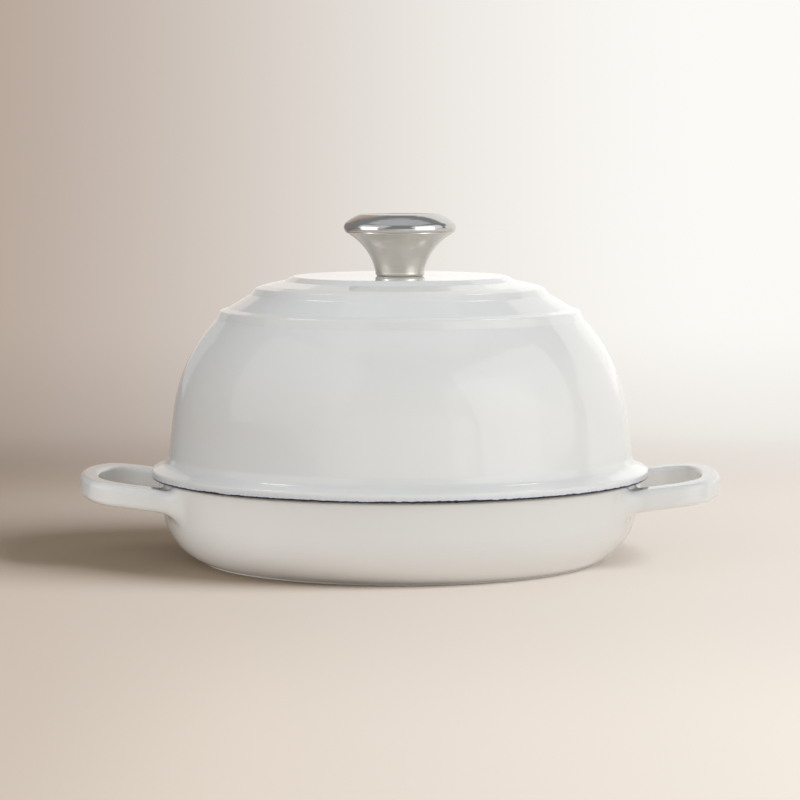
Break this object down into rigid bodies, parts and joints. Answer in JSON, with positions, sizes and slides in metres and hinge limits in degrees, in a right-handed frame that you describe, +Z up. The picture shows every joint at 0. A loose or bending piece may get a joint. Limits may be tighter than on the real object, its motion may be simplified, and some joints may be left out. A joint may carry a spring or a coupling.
{
  "type": "bread cloche",
  "caption": "Enamelled cast bread pan with side loop handles, under a domed lid with stepped rings and a flared screw-on steel knob.",
  "frame": {"origin": "on the axis of the pan, dome and knob, in the plane that the pan's foot ring stands on", "axes": "+Z up along the axis; X runs through both loop handles; the lid rests on the pan at Z = 43 mm"},
  "size_m": [0.3258, 0.2522, 0.1754],
  "materials": {
    "enamel": "gloss",
    "polished_steel": "polished",
    "satin_steel": "satin",
    "fastener_steel": "satin"
  },
  "bodies": {
    "pan": {"base_pan": "enamel"},
    "lid": {"dome_lid": "enamel", "lock_washer": "fastener_steel"},
    "screw": {"knob_screw": "fastener_steel"},
    "knob": {"knob_cap": "polished_steel", "knob_shell": "satin_steel", "knob_hub": "fastener_steel"}
  },
  "joints": [
    {"name": "lid_lift", "type": "slide", "parent": "pan", "child": "lid", "axis": [0, 0, 1], "range_m": [0, 0.16]},
    {"name": "screw_turn", "type": "hinge", "parent": "lid", "child": "screw", "pos_m": [0, 0, 0.1363], "axis": [0, 0, 1], "range_deg": [-3600, 0]},
    {"name": "knob_rise", "type": "slide", "parent": "lid", "child": "knob", "axis": [0, 0, 1], "range_m": [0, 0.01]}
  ],
  "couplings": [
    {"joint": "screw_turn", "follows": "knob_rise", "rad_per_m": -6283.2}
  ]
}
